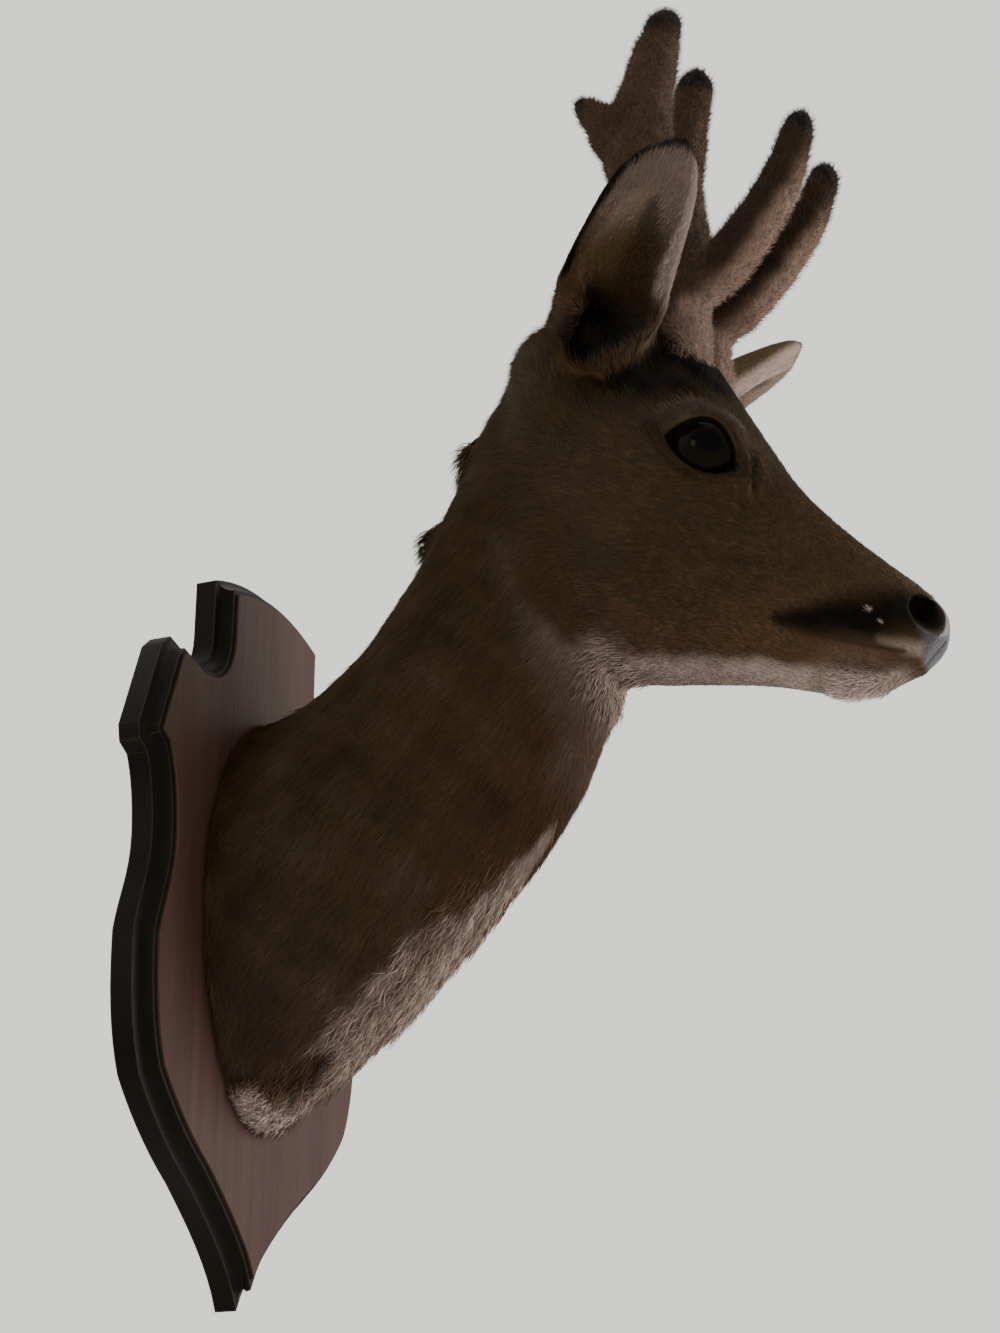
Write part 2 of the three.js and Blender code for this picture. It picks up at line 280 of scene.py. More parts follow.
def markings(points):
    # shares of pale, dark and warm hair and of bare leather at each point; the dark share also holds painted shade in
    # the ear's and the chest's hollows and the cheek's fold
    head, trunk, ear = toHead(points), toBody(points), toEar(points)
    (half, back, high), (earAlong, earAcross, earDepth) = head.T, ear.T
    flatEar = earSpace(points)[:, :2]
    isHead, isEar = headness(points), earness(points)
    onHead, offHead, offEar = isHead * (1 - isEar), 1 - isHead, 1 - isEar
    wobble = 1 + 0.22 * ripple(points, 210) + 0.12 * ripple(points, 560, 3)

    # pale hair: under the jaw, chin, lip and brow, and the chest's edge with its curled end
    under = smoothStep(0.01, 0.003, (high - levelAt(body["keel"], back)) * wobble) * smoothStep(0.018, 0.032, back)
    chin = blob(head, (0, 0.011, -0.04), (0.02, 0.019, 0.015), 0.6)
    upperLip = band(head, [(0.018, 0.012, -0.0225), (0.014, 0.004, -0.018), (0.009, -0.002, -0.0135)],
                    (0.0018, 0.0034, 0.0028), 0.9)
    specks = largest(blob(head, (0.0201, 0.0236, -0.0155), (0.0016, 0.0009, 0.0013), 0.6),
                     blob(head, (0.0191, 0.0165, -0.0165), (0.0016, 0.0012, 0.0008), 0.6))
    brow = band(head, [(0.044, 0.143, -0.004), (0.04, 0.137, 0.01), (0.033, 0.12, 0.017), (0.028, 0.104, 0.012)],
                (0.004, 0.006, 0.006, 0.004), 0.6)
    throatPatch = blob(trunk, (0, -0.184, 0.096), (0.026, 0.014, 0.017), 0.5)
    throatAway, throatAlong = lineDistance(trunk, body["throat"])
    throatFront = smoothStep(0.026, 0.01, throatAway) * smoothStep(0.3, 0.15, throatAlong) * offHead
    fringeWidth = np.interp(throatAlong, (0.28, 0.36, 0.48, 0.6, 0.7, 0.8, 0.89),
                            (0.001, 0.007, 0.013, 0.021, 0.026, 0.024, 0.013))
    fringe = smoothStep(1.3, 0.75, throatAway * wobble / fringeWidth)
    fringe *= 0.78 + 0.3 * ripple(points, 260, 8) + 0.22 * ripple(points, 700, 2)
    fringe *= 1 - 0.5 * bell(throatAway * wobble, 0.0035, 0.0135)
    # painted shade beside the chest's curled end: it dims the pale fringe and warms the hair
    rollShade = band(points, body["rollShade"], (0.008, 0.0095, 0.007), 0.6) * (0.85 + 0.3 * ripple(points, 600, 9))
    fringe *= 1 - 0.8 * rollShade
    roll = band(points, body["roll"], (0.0065, 0.0105, 0.0085)) * (0.9 + 0.2 * ripple(points, 520, 7))
    # painted shade in the hollow under the curled end: darker, warmer hair there
    rollHollow = band(points, body["rollHollow"], (0.0075, 0.007, 0.0055), 0.6)
    jawSide = band(head, [(0.0125, 0.005, -0.0285), (0.0165, 0.014, -0.0335), (0.0175, 0.028, -0.0405),
                          (0.0195, 0.05, -0.052), (0.021, 0.08, -0.067)], (0.0045, *[0.006] * 4), 0.6)
    mottle = np.clip(0.6 * ripple(points, 130, 15) + 0.5 * ripple(points, 310, 16), -1, 1)
    pale = largest(0.72 * under * onHead, 0.9 * chin * onHead, 0.46 * upperLip, 0.12 * brow * onHead,
                   0.55 * throatPatch, 0.15 * throatFront, 0.72 * fringe * offHead, 1.0 * roll * offHead)
    pale = largest(pale * (1 - 0.95 * rollHollow) * (1 - 0.85 * jawSide * isHead), 0.05 * -mottle * offHead)

    # dark hair: muzzle, crown and lids, the ear's rim, and mottling; painted shade in the ear's hollow, the chest's
    # hollow and the cheek's fold
    muzzle = band(head, [(0.0165, 0.013, -0.007), (0.02, 0.022, -0.018), (0.021, 0.034, -0.0285),
                         (0.0215, 0.05, -0.0405)], (0.012, 0.013, 0.0085, 0.0034), 0.85)
    lowerLip = blob(head, (0.0125, 0.006, -0.0255), (0.007, 0.011, 0.0042))
    bridge = blob(head, (0, 0.066, 0.01), (0.013, 0.05, 0.012))
    crown = band(head, [(0.053, 0.176, -0.002), (0.041, 0.162, 0.011), (0.022, 0.153, 0.026), (0, 0.152, 0.032)],
                 (0.014, 0.017, 0.017, 0.016), 0.4) * (0.92 + 0.25 * ripple(points, 330, 5))
    lidShare, lidHeight = toLid(points)
    lidDark = 0.52 * smoothStep(1.85, 1.2, lidShare) * (lidHeight > 0) * isHead
    tear = band(head, body["tear"], (0.0024, 0.0018))
    # painted shade: a darker line along the crease of the cheek's fold
    foldAway, _ = lineDistance(head[:, 1:], body["cheekFold"])
    cheekFold = smoothStep(0.0042, 0.001, foldAway) * (half > 0.012) * onHead
    napeAway, _ = lineDistance(trunk, body["nape"])
    nape = smoothStep(0.045, 0.012, napeAway * wobble) * offHead
    rim = band(flatEar, body["earEdge"], body["earEdgeWidth"], 0.35) * isEar
    # painted shade: the hollow that leads into the ear gets darker the deeper it goes
    hollow = smoothStep(1.55, 1.15, scoopShare(points)) * smoothStep(0.018, 0.01, earDepth)
    hollow = hollow * smoothStep(0.4, 0.17, earAlong - 5 * earAcross) * smoothStep(-0.009, -0.005, earDepth)
    earLip = band(flatEar, [(-0.002, 0.015), (0.009, -0.002), (0.022, -0.016)], (0.005, 0.006, 0.006), 0.6)
    earLip = earLip * smoothStep(0.004, 0.01, earDepth)
    streak = band(flatEar, [(0.3 * earLength, -0.004), (0.52 * earLength, -0.001), (0.7 * earLength, 0.005)],
                  (0.009, 0.007, 0.003), 0.7) * (earDepth > -0.004)
    dark = largest(0.97 * muzzle * (1 - specks), 0.32 * bridge, 0.97 * crown * offEar * (1 - 0.75 * earLip),
                   0.8 * tear, 0.16 * nape, 0.95 * rim * isEar, 0.97 * hollow, 0.5 * streak * isEar,
                   0.45 * lowerLip * onHead, 0.22 * cheekFold, 0.74 * rollHollow, lidDark,
                   0.45 * np.maximum(mottle, 0) * offHead, (0.22 + 0.12 * mottle) * onHead * (1 - earLip))
    dark = dark * (1 - 0.9 * roll * offHead)
    dark = np.clip(dark * (0.5 + 0.5 * wobble), 0, 1) * (1 - 0.9 * chin * onHead) * (1 - 0.6 * upperLip)

    # the ear's pale inside and ridge
    inner = smoothStep(-0.001, 0.005, earDepth) * isEar * (1 - rim)
    ridgeStart = np.interp(earAlong, (0.3, 0.5, 0.8), (-0.0125, -0.0095, -0.0055))
    ridge = smoothStep(0, -0.0035, earAcross - ridgeStart + 0.0015 * ripple(points, 380, 4)) * isEar * (1 - rim)
    ridge = ridge * smoothStep(0.2, 0.42, earAlong) * smoothStep(-0.0025, 0.0025, earDepth)
    earPale = largest(0.24 * inner * smoothStep(0.42, 0.72, earAlong), 0.54 * ridge,
                      0.1 * earLip * smoothStep(0.05, 0.2, earAlong))
    dark = dark * (1 - 0.8 * ridge)
    pale = largest(pale * (1 - 0.9 * muzzle), earPale * (1 - hollow), 0.95 * specks)

    warm = largest(0.85 * smoothStep(0.07, 0.02, throatAway * wobble), 0.6 * np.maximum(rollHollow, rollShade),
                   0.6 * smoothStep(-0.03, -0.062, points[:, 2]) * offHead,
                   0.3 + 0.28 * ripple(points, 90, 2) + 0.3 * jawSide)
    pad = largest(blob(head, *body["pad"], 0.14), blob(head, (0, -0.001, -0.011), (0.012, 0.006, 0.007), 0.25))
    return np.clip(np.stack((pale, dark, warm, pad * (back < 0.03)), 1), 0, 1)


def newMaterial(name):
    material = bpy.data.materials.new(name)
    material.use_nodes = True
    return material, material.node_tree


def feed(tree, socket, value):
    # a socket takes a link from another socket, or a plain value
    if isinstance(value, bpy.types.NodeSocket):
        tree.links.new(value, socket)
    else:
        socket.default_value = value


def fillShader(material, values):
    tree = material.node_tree
    for key, value in values.items():
        feed(tree, tree.nodes["Principled BSDF"].inputs[key], value)
    return material


def addNode(tree, kind, output=0, sockets=(), **values):
    # an output of a new node, whose sockets are fed by number or by name
    node = tree.nodes.new("ShaderNode" + kind)
    for key, value in values.items():
        if key in node.inputs:
            feed(tree, node.inputs[key], value)
        else:
            setattr(node, key, value)
    for number, value in sockets:
        feed(tree, node.inputs[number], value)
    return node.outputs[output]


def attribute(tree, name, kind="Fac"):
    return addNode(tree, "Attribute", kind, attribute_name=name)


def mapRange(tree, value, start, end, low=0, high=1, kind="LINEAR"):
    return addNode(tree, "MapRange", 0, enumerate((value, start, end, low, high)), interpolation_type=kind)


def mixColour(tree, factor, first, second, mode="MIX"):
    return addNode(tree, "Mix", 2, ((0, factor), (6, first), (7, second)), data_type="RGBA", blend_type=mode)


def addBump(tree, height, strength, distance):
    return addNode(tree, "Bump", Height=height, Strength=strength, Distance=distance)


view = {"place": (-0.87098, -0.48211, -0.27652), "right": (0.3766, -0.9264, -0.0023),
        "down": (0.3513, 0.1452, -0.9249), "lens": 62.1}
right, down = Vector(view["right"]).normalized(), Vector(view["down"]).normalized()
turn = Matrix((right, -down, right.cross(-down))).transposed()
camera = newObject("camera", bpy.data.cameras.new("camera"))
camera.matrix_world = Matrix.Translation(view["place"]) @ turn.to_4x4()
camera.data.lens = view["lens"]
bpy.context.scene.camera = camera

lamps = {
    "key": {"place": (1, -1.9, 0.45), "size": 1.5, "energy": 42, "color": (1, 0.97, 0.95)},
    "fill": {"place": (-1.6, 0.55, 0.35), "size": 0.7, "energy": 5, "color": (0.97, 0.98, 1)},
    "rim": {"place": (0.5, -0.6, 1.6), "size": 1.2, "energy": 8, "color": (1, 0.98, 0.96)},
}
lampAim = Vector((0, -0.15, 0.08))
for name, lamp in lamps.items():
    light = newObject(name, bpy.data.lights.new(name, "AREA"))
    light.data.shape = "DISK"
    light.data.energy, light.data.size, light.data.color = lamp["energy"], lamp["size"], lamp["color"]
    facing = (lampAim - Vector(lamp["place"])).to_track_quat("-Z", "Y")
    light.matrix_world = Matrix.Translation(lamp["place"]) @ facing.to_matrix().to_4x4()

sky = {"bright": (1.26, 1.24, 1.18, 1), "dim": (0.74, 0.73, 0.7, 1), "toward": (0.8, 0.45, 0.4), "from": (-0.5, 0.6)}
world = bpy.data.worlds.new("studio")
bpy.context.scene.world = world
world.use_nodes = True
tree = world.node_tree
place = addNode(tree, "TexCoord", "Generated")
toward = addNode(tree, "VectorMath", "Value", ((0, place), (1, sky["toward"])), operation="DOT_PRODUCT")
colour = mixColour(tree, mapRange(tree, toward, *sky["from"]), sky["dim"], sky["bright"])
tree.links.new(colour, tree.nodes["Background"].inputs["Color"])

ground = {"height": -0.85, "half": 5, "color": (0.72, 0.72, 0.69, 1), "roughness": 0.7}
bm = bmesh.new()
bmesh.ops.create_grid(bm, x_segments=1, y_segments=1, size=ground["half"],
                      matrix=Matrix.Translation((0, 0, ground["height"])))
floor = fromBmesh("floor", bm)
paint, _ = newMaterial("floor paint")
floor.data.materials.append(fillShader(paint, {"Base Color": ground["color"], "Roughness": ground["roughness"]}))
print("stage is set")


coatColours = {"base": (0.06, 0.039, 0.015, 1), "pale": (0.6, 0.465, 0.41, 1), "dark": (0.0028, 0.0016, 0.0009, 1),
               "warm": (0.102, 0.05, 0.026, 1), "band": (0.096, 0.066, 0.035, 1), "bandFrom": (0.45, 0.95),
               "shades": (0.76, 1.24)}

# the coat's colour from its markings, shared by the skin and every tuft
tree = coatGroup = bpy.data.node_groups.new("coatColour", "ShaderNodeTree")
for label, kind, way in (("Marks", "Color", "INPUT"), ("Along", "Float", "INPUT"), ("Shade", "Float", "INPUT"),
                         ("Color", "Color", "OUTPUT")):
    tree.interface.new_socket(label, in_out=way, socket_type="NodeSocket" + kind)
groupIn, groupOut = tree.nodes.new("NodeGroupInput"), tree.nodes.new("NodeGroupOutput")
pale, dark, warm = addNode(tree, "SeparateColor", sockets=((0, groupIn.outputs["Marks"]),)).node.outputs
colour = mixColour(tree, warm, coatColours["base"], coatColours["warm"])
banded = mapRange(tree, groupIn.outputs["Along"], *coatColours["bandFrom"], kind="SMOOTHSTEP")
colour = mixColour(tree, 0.5, colour, mixColour(tree, banded, colour, coatColours["band"]))
colour = mixColour(tree, pale, colour, coatColours["pale"])
colour = mixColour(tree, dark, colour, coatColours["dark"])
shade = mapRange(tree, groupIn.outputs["Shade"], 0, 1, *coatColours["shades"])
tree.links.new(mixColour(tree, 1.0, colour, shade, "MULTIPLY"), groupOut.inputs["Color"])


def coatMaterial(name, roughness, sheen):
    material, tree = newMaterial(name)
    colour = addNode(tree, "Group", node_tree=coatGroup, Marks=attribute(tree, "marks", "Color"),
                     Along=attribute(tree, "along"), Shade=attribute(tree, "shade"))
    return fillShader(material, {"Base Color": colour, "Roughness": roughness, "Specular IOR Level": 0.02,
                                 "Sheen Weight": sheen, "Sheen Roughness": 0.4})


def skinMaterial():
    material, tree = newMaterial("skin")
    marks, leather = attribute(tree, "marks", "Color"), attribute(tree, "leather")
    streaks = addNode(tree, "TexNoise", "Fac", Vector=attribute(tree, "lay", "Vector"), Scale=900.0, Detail=3.0,
                      Roughness=0.6)
    fur = addNode(tree, "Group", node_tree=coatGroup, Marks=marks, Shade=streaks, Along=0.3)
    pebbles = addNode(tree, "TexVoronoi", "Distance", Vector=addNode(tree, "TexCoord", "Object"), Scale=900.0)
    # the dark share also darkens the bare leather; inside the nostrils that is painted shade
    dark = addNode(tree, "SeparateColor", "Green", ((0, marks),))
    bare = mixColour(tree, pebbles, (0.04, 0.037, 0.044, 1), (0.11, 0.103, 0.122, 1))
    bare = mixColour(tree, dark, bare, (0.008, 0.006, 0.006, 1))
    height = mixColour(tree, leather, streaks, pebbles)
    return fillShader(material, {
        "Base Color": mixColour(tree, leather, fur, bare), "Specular IOR Level": 0.06,
        "Roughness": mapRange(tree, leather, 0, 1, 0.75, 0.33), "Coat Weight": mapRange(tree, leather, 0, 1, 0, 0.3),
        "Coat Roughness": 0.32, "Normal": addBump(tree, height, 0.55, 0.0006)})


def eyeMaterial():
    material, tree = newMaterial("eye glass")
    iris = attribute(tree, "iris", "Vector")
    fibres = addNode(tree, "TexNoise", "Fac", Vector=iris, Scale=9.0, Detail=4.0)
    brown = mixColour(tree, fibres, (0.0022, 0.0013, 0.0005, 1), (0.0085, 0.0045, 0.0014, 1))
    pupil = mapRange(tree, addNode(tree, "SeparateXYZ", "Z", ((0, iris),)), 0.85, 1.0, kind="SMOOTHSTEP")
    colour = mixColour(tree, pupil, (0.001, 0.001, 0.0012, 1), brown)
    return fillShader(material, {"Base Color": colour, "Roughness": 0.06, "Specular IOR Level": 0.05})


def woodMaterial():
    material, tree = newMaterial("board wood")
    coords = addNode(tree, "TexCoord", "Object")
    stretched = addNode(tree, "Mapping", Vector=coords, Scale=(60, 60, 3.5))
    grain = addNode(tree, "TexNoise", "Fac", Vector=stretched, Scale=1.0, Detail=5.0, Roughness=0.6, Distortion=0.6)
    pores = addNode(tree, "TexNoise", "Fac", Vector=stretched, Scale=9.0, Detail=2.0)
    face = mixColour(tree, grain, (0.024, 0.012, 0.009, 1), (0.08, 0.043, 0.032, 1))
    moulding = mixColour(tree, grain, (0.0022, 0.0017, 0.0006, 1), (0.008, 0.0058, 0.0024, 1))
    depth = addNode(tree, "SeparateXYZ", "Y", ((0, coords),))
    onFace = mapRange(tree, depth, -0.0164, -0.0176, kind="SMOOTHSTEP")
    # wear and painted highlight: the rounded edges come out lighter than the wood around them
    bevelled = addNode(tree, "Bevel", Radius=0.0012)
    edge = addNode(tree, "VectorMath", "Value", ((0, bevelled), (1, addNode(tree, "NewGeometry", "Normal"))),
                   operation="DOT_PRODUCT")
    wearAndHighlight = mapRange(tree, edge, 0.995, 0.9, 0, 0.35, "SMOOTHSTEP")
    colour = mixColour(tree, wearAndHighlight, mixColour(tree, onFace, moulding, face), (0.075, 0.055, 0.043, 1))
    return fillShader(material, {"Base Color": colour, "Roughness": mapRange(tree, pores, 0, 1, 0.38, 0.56),
                                 "Specular IOR Level": 0.07, "Normal": addBump(tree, pores, 0.25, 0.0004)})


board = {"thickness": 0.018, "bandDepth": 0.01, "cove": 0.0055, "coveSteps": 5, "lip": 0.002, "faceStep": 0.0015,
         "faceEdge": 0.0002, "sharp": 28, "tip": (0, -0.161), "steps": 9}
boardLegs = [
    ((0.046, -0.115), (0.008, -0.143), (0.03, -0.127)), ((0.088, -0.079), (0.066, -0.103), (0.08, -0.089)),
    ((0.0985, -0.022), (0.096, -0.063), (0.0985, -0.046)), ((0.0885, 0.022), (0.0955, -0.006), (0.088, 0.004)),
    ((0.096, 0.054), (0.0895, 0.042)), ((0.1025, 0.0575),), ((0.104, 0.0645),), ((0.0895, 0.105),), ((0.083, 0.111),),
    ((0.066, 0.107),), ((0.046, 0.127), (0.046, 0.107)), ((0.046, 0.153),), ((0, 0.162), (0.023, 0.162)),
]


def softCurve(start, bends, end, steps):
    # a curve with one bend or two, or a straight line
    start, bends, end = Vector(start), [Vector(bend) for bend in bends], Vector(end)
    if not bends:
        return [start, end]
    if len(bends) == 1:
        bends = [corner.lerp(bends[0], 2 / 3) for corner in (start, end)]
    return interpolate_bezier(start, *bends, end, steps)


def boardOutline():
    # right half from the bottom tip up, then the left half back down
    half = [Vector(board["tip"])]
    for end, *bends in boardLegs:
        half += softCurve(half[-1], bends, end, board["steps"])[1:]
    return [*half, *(Vector((-point.x, point.y)) for point in half[-2:0:-1])]


bm = bmesh.new()
corners = [bm.verts.new((point.x, 0, point.y)) for point in boardOutline()]
back = bm.faces.new(corners)
front = bmesh.ops.extrude_face_region(bm, geom=[back])["geom"]
face = next(item for item in front if isinstance(item, bmesh.types.BMFace))
bmesh.ops.translate(bm, verts=face.verts, vec=(0, -board["bandDepth"], 0))
bmesh.ops.recalc_face_normals(bm, faces=bm.faces)
rise = board["thickness"] - board["faceStep"] - board["bandDepth"]
previous = (0, 0)
for i in range(1, board["coveSteps"] + 1):
    angle = i / board["coveSteps"] * math.pi / 2
    place = (board["cove"] * math.sin(angle), rise * (1 - math.cos(angle)))
    bmesh.ops.inset_region(bm, faces=[face], thickness=place[0] - previous[0], depth=place[1] - previous[1],
                           use_even_offset=True)
    previous = place
for width, depth in ((board["lip"], 0), (board["faceEdge"], board["faceStep"])):
    bmesh.ops.inset_region(bm, faces=[face], thickness=width, depth=depth, use_even_offset=True)
bmesh.ops.recalc_face_normals(bm, faces=bm.faces)
boardPiece = fromBmesh("boardWood", bm)
shadeSmooth(boardPiece.data, board["sharp"])
finishPiece(boardPiece, woodMaterial(), "board_wood", "board")
print("board is made")


eye = {"radius": 0.0165, "at": (0.027, 0.126, -0.0035), "facing": (1, -0.3, 0.12), "tilt": math.radians(14),
       "shift": (-0.0015, -0.004), "half": 0.0175, "upper": (0.005, 0.027), "lower": (0, -0.016),
       "rimSteps": 30, "cornea": 0.0007, "corneaFrom": (0.8, 0.95), "pupil": (0.46, 0.3), "floor": 0.0045,
       "gap": 0.0002}
eyeCentre = headPoint(*eye["at"])
eyeOut = unit(headPoint(*eye["facing"]) - headFrame["nose"])
eyeBack = unit(backward - eyeOut * (backward @ eyeOut))
eyeUp = np.cross(eyeOut, eyeBack)
lidLong = eyeBack * math.cos(eye["tilt"]) - eyeUp * math.sin(eye["tilt"])
lidUp = eyeBack * math.sin(eye["tilt"]) + eyeUp * math.cos(eye["tilt"])
lidCentre = eyeCentre + eyeBack * eye["shift"][0] + eyeUp * eye["shift"][1]


def lidRim():
    # the opening's edge as distances along and above its own axis, from the front corner round underneath
    half, steps = eye["half"], eye["rimSteps"]
    points = []
    for front, bend in ((-half, eye["lower"]), (half, eye["upper"])):
        points += [tuple(point) for point in softCurve((front, 0), [bend], (-front, 0), steps + 1)[:-1]]
    return np.array(points)


rim = lidRim()
rimAngle = np.arctan2(rim[:, 1], rim[:, 0])
order = np.argsort(rimAngle)
rimAngles = np.concatenate((rimAngle[order] - 2 * math.pi, rimAngle[order], rimAngle[order] + 2 * math.pi))
rimRadii = np.tile(norm(rim, axis=1)[order], 3)


def toLid(points):
    # how far out from the opening's centre, in shares of the rim's own distance, and the height above the eye's middle
    rel = toBody(points) - lidCentre
    along, above = rel @ lidLong, rel @ lidUp
    share = np.hypot(along, above) / np.interp(np.arctan2(above, along), rimAngles, rimRadii)
    return share, (toBody(points) - eyeCentre) @ eyeOut


def ballHeight(points):
    # height of the eyeball's surface over its middle, with a shallow floor beyond its edge
    rel = toBody(points) - eyeCentre
    away = np.hypot(rel @ lidLong, rel @ lidUp)
    return np.sqrt(np.maximum(eye["radius"] ** 2 - away ** 2, eye["floor"] ** 2))


eyeGlass = eyeMaterial()
for side, sign in (("right", -1), ("left", 1)):
    bm = bmesh.new()
    bmesh.ops.create_uvsphere(bm, u_segments=48, v_segments=28, radius=eye["radius"] - eye["gap"])
    ball = fromBmesh("eyeball." + side, bm)
    points = pointsOf(ball.data)
    gaze = unit(points)
    toward = gaze @ (eyeOut * (sign, 1, 1))
    points += gaze * (eye["cornea"] * smoothStep(*eye["corneaFrom"], toward))[:, None]
    along, above = gaze @ (lidLong * (sign, 1, 1)), gaze @ (lidUp * (sign, 1, 1))
    pupil = np.hypot(along / eye["pupil"][0], above / eye["pupil"][1])
    pupil[toward < 0] = 3  # no pupil on the back
    movePoints(ball.data, points + eyeCentre * (sign, 1, 1))
    addAttribute(ball.data, "iris", np.stack((along, above, pupil), 1))
    shadeSmooth(ball.data)
    finishPiece(ball, eyeGlass, "eye_glass", "eye_" + side)
print("eyes are made")


pelt = {"firstVoxel": 0.0016, "voxel": 0.0019, "scoopVoxel": 0.001, "grow": 0.00025, "smoothing": 18, "socket": 0.0008,
        "pedicle": ((0.017, -0.221, 0.232), 0.019, 0.0135, 0.044), "neckDepth": 0.0032, "earDepth": 0.0008,
        "nostrilDepth": 0.0095, "lidSink": 0.0022, "ballGap": 0.0028}
fleshNodes = ["shoulder", "neck", "head", "lower_jaw", "nose", "ear_right", "ear_left"]
bm = mergedCopy(fleshNodes, pelt["grow"])
for sign in (-1, 1):
    # balls fill the sockets and short cones the antlers' holes
    bmesh.ops.create_uvsphere(bm, u_segments=32, v_segments=20, radius=eye["radius"] + pelt["socket"],
                              matrix=Matrix.Translation(eyeCentre * (sign, 1, 1)))
    (x, y, z), low, top, tall = pelt["pedicle"]
    bmesh.ops.create_cone(bm, cap_ends=True, segments=24, radius1=low, radius2=top, depth=tall,
                          matrix=Matrix.Translation((sign * x, y, z)))
    (x, y, z), reach = body["earBase"]
    bmesh.ops.create_uvsphere(bm, u_segments=32, v_segments=20, radius=1,
                              matrix=Matrix.Translation((sign * x, y, z)) @ Matrix.Diagonal((*reach, 1)))
skin = fromBmesh("skin", bm)
remesh(skin, pelt["firstVoxel"])

# overlapping egg shapes cut the hollow that leads into each ear
bm = bmesh.new()
earMatrix = Matrix(np.stack((earAhead, earSide, earOpen), 1).tolist()).to_4x4()
earMatrix.translation = Vector(earFrame["base"])
for centre, reach in body["scoops"]:
    bmesh.ops.create_uvsphere(bm, u_segments=40, v_segments=24, radius=1,
                              matrix=earMatrix @ Matrix.Translation(centre) @ Matrix.Diagonal((*reach, 1)))
mirrored = bmesh.ops.duplicate(bm, geom=[*bm.verts, *bm.edges, *bm.faces])["geom"]
bmesh.ops.scale(bm, verts=[item for item in mirrored if isinstance(item, bmesh.types.BMVert)], vec=(-1, 1, 1))
bmesh.ops.recalc_face_normals(bm, faces=bm.faces)
scoop = fromBmesh("scoop", bm)
remesh(scoop, pelt["scoopVoxel"])
applyModifier(skin, "BOOLEAN", operation="DIFFERENCE", object=scoop, solver="MANIFOLD")
remesh(skin, pelt["voxel"])
bpy.data.objects.remove(scoop)


def coatDepth(points):
    # how deep the skin lies under the tips of the coat
    head, isHead, isEar = toHead(points), headness(points), earness(points)
    face = np.interp(head[:, 1], (0.02, 0.06, 0.12, 0.2), (0.0003, 0.0009, 0.0016, 0.0028))
    face *= smoothStep(0.02, 0.034, norm(head - np.array(body["eye"]), axis=1)) * 0.8 + 0.2
    return blend(blend(pelt["neckDepth"], face, isHead), pelt["earDepth"], isEar)


def smoothSkin(mesh, rounds):
    # evens out the facets of the neck and the head, but keeps the nose, the eyes and the ears
    group = skin.vertex_groups.new(name="smooth")
    points = pointsOf(mesh)
    head = toHead(points)
    keep = largest(blob(head, (0.01, 0, -0.005), (0.03, 0.03, 0.03)), earness(points),
                   blob(head, body["eye"], (0.02, 0.024, 0.02)))
    weight = np.round(np.clip(1 - keep, 0.06, 1), 1)
    for level in np.unique(weight):
        group.add(np.flatnonzero(weight == level).tolist(), float(level), "REPLACE")
    applyModifier(skin, "SMOOTH", factor=0.5, iterations=rounds, vertex_group="smooth")
    skin.vertex_groups.clear()


def relief(points):
    # how far the skin stands out or in over the bones and folds of the head and neck
    head, isHead = toHead(points), headness(points)
    half, back, high = head.T
    mouthAway, _ = lineDistance(head[:, 1:], body["mouth"])
    reach = smoothStep(0.054, 0.047, back) * isHead
    groove = -0.0013 * bell(mouthAway, 0.0012) * reach
    above = smoothStep(-0.004, 0.002, high - levelAt(body["mouth"], back))
    lips = 0.0008 * bell(mouthAway, 0.002, 0.0032) * reach * above
    cheekbone = 0.0014 * band(head, [(0.037, 0.098, -0.02), (0.043, 0.128, -0.026), (0.046, 0.17, -0.022)],
                              (0.007, 0.009, 0.008))
    hollow = -0.0016 * band(head, [(0.024, 0.072, -0.034), (0.034, 0.1, -0.05)], (0.008, 0.01))
    masseter = 0.0018 * blob(head, (0.038, 0.136, -0.058), (0.02, 0.026, 0.026))
    tear = -0.0013 * band(head, body["tear"], (0.0022, 0.0016))
    padEdge = -0.0009 * bell(blob(head, *body["pad"], 0.1), 0.3, 0.5) * (back < 0.03) * (back > 0.004)
    split = -0.0008 * bell(half, 0.0007) * (back < 0.012) * (high < -0.002)
    folds = 0.0008 * ripple(points, 95, 4) * (1 - isHead)
    foldAway, _ = lineDistance(head[:, 1:], body["cheekFold"])
    cheekFold = 0.0004 * bell(foldAway, 0.0025, 0.004) - 0.0006 * bell(foldAway, 0.0018)
    cheekFold = cheekFold * (half > 0.012) * isHead
    roll = 0.0006 * band(points, body["roll"], (0.006, 0.007, 0.005))
    roll = roll - 0.003 * band(points, body["rollHollow"], (0.005, 0.005, 0.004))
    return groove + lips + cheekbone + hollow + masseter + tear + padEdge + split + folds + cheekFold + roll


smoothSkin(skin.data, pelt["smoothing"])
bm = bmesh.new()
bm.from_mesh(skin.data)
centres = np.array([edge.verts[0].co for edge in bm.edges])
head = toHead(centres)
share, height = toLid(centres)
isFine = (head[:, 1] < 0.056) & (head[:, 2] > -0.07) | (share < 1.9) & (height > 0)  # nose, mouth and eyes
bm.edges.ensure_lookup_table()
fineEdges = [bm.edges[i] for i in np.flatnonzero(isFine)]
bmesh.ops.subdivide_edges(bm, edges=fineEdges, cuts=1, use_grid_fill=True)
bmesh.ops.triangulate(bm, faces=[face for face in bm.faces if len(face.verts) > 4])
bm.to_mesh(skin.data)
bm.free()

